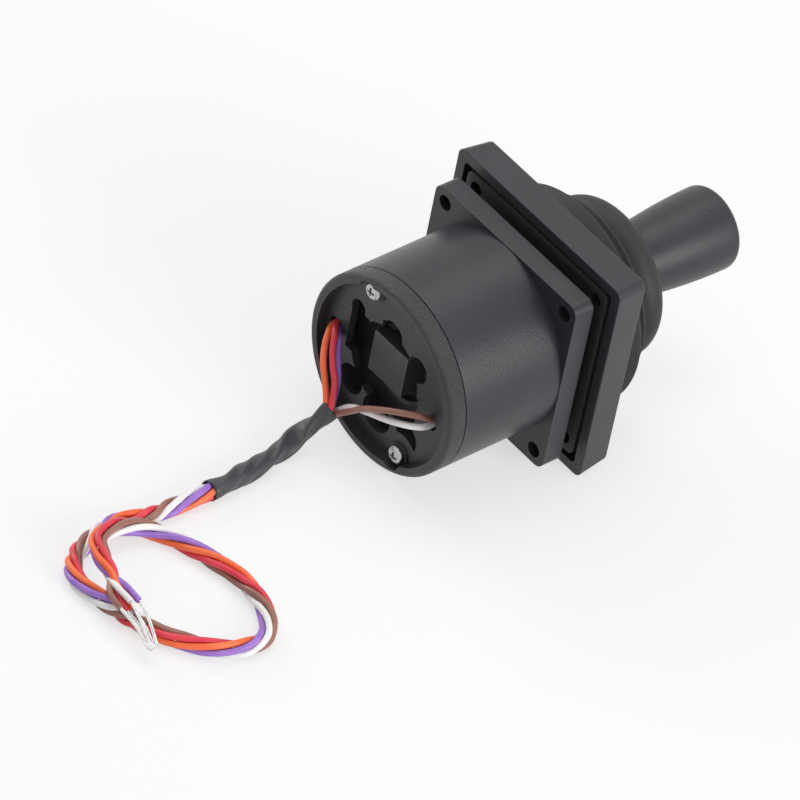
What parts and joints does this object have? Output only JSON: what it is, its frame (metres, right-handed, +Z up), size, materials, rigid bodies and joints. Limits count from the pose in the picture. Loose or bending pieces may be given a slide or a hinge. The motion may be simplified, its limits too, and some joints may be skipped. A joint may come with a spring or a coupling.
{
  "type": "industrial joystick",
  "caption": "Two-axis panel joystick with a conical fingertip handle, folded rubber boot, square bezel, round body and flying leads.",
  "frame": {"origin": "centre of the underside of the joystick's own box, leads left out, as it lies on its side", "axes": "+Z up, +Y from the rear cover to the handle along the table, +X to the right seen from behind"},
  "size_m": [0.073, 0.1968, 0.059],
  "materials": {
    "body_plastic": "satin",
    "cover_plastic": "fine grain",
    "bezel_plastic": "satin",
    "handle_plastic": "satin",
    "inner_plastic": "matte",
    "chip_plastic": "matte",
    "board": "solder mask",
    "boot_rubber": "matte",
    "sleeve_rubber": "satin",
    "zinc_steel": "bright zinc",
    "inner_steel": "machined",
    "spring_steel": "drawn wire",
    "bronze": "sintered",
    "brass_insert": "turned",
    "magnet": "plated",
    "lead_orange": "smooth insulation",
    "lead_red": "smooth insulation",
    "lead_violet": "smooth insulation",
    "lead_brown": "smooth insulation",
    "lead_white": "smooth insulation",
    "tinned_copper": "tinned strands"
  },
  "bodies": {
    "base": {"housing": "body_plastic", "rear_cover": "cover_plastic", "cover_screws": "zinc_steel", "pivot_bushes": "bronze", "spring_plate": "inner_steel", "spacer_sleeve": "inner_plastic", "centring_spring": "spring_steel", "sensor_board": "board", "field_sensors": "chip_plastic", "sensor_carrier": "inner_plastic", "sensor_block": "inner_plastic", "boot": "boot_rubber", "bezel": "bezel_plastic", "bezel_inserts": "brass_insert", "lead_orange": "lead_orange", "lead_red": "lead_red", "lead_violet": "lead_violet", "lead_brown": "lead_brown", "lead_white": "lead_white", "lead_sleeve": "sleeve_rubber", "lead_bundle": "lead_red", "lead_tips": "tinned_copper"},
    "gimbal": {"gimbal_ring": "inner_steel", "gimbal_pins": "inner_steel"},
    "stick": {"pivot_hub": "inner_steel", "cross_pin": "inner_steel", "stick_shaft": "inner_steel", "spring_collar": "inner_steel", "collar_clip": "spring_steel", "sense_magnet": "magnet", "handle_insert": "brass_insert", "handle_knob": "handle_plastic"}
  },
  "joints": [
    {"name": "tilt_sideways_pins", "type": "hinge", "parent": "base", "child": "gimbal", "pos_m": [0, -0.01803, 0.02847], "axis": [1, 0, 0], "range_deg": [-20, 20], "stiffness_Nm_per_rad": 0.35, "deforming": ["boot", "centring_spring"]},
    {"name": "tilt_cross_pin", "type": "hinge", "parent": "gimbal", "child": "stick", "pos_m": [0, -0.01803, 0.02847], "axis": [0, 0.1002, -0.995], "range_deg": [-20, 20], "stiffness_Nm_per_rad": 0.35, "deforming": ["boot", "centring_spring"]}
  ]
}
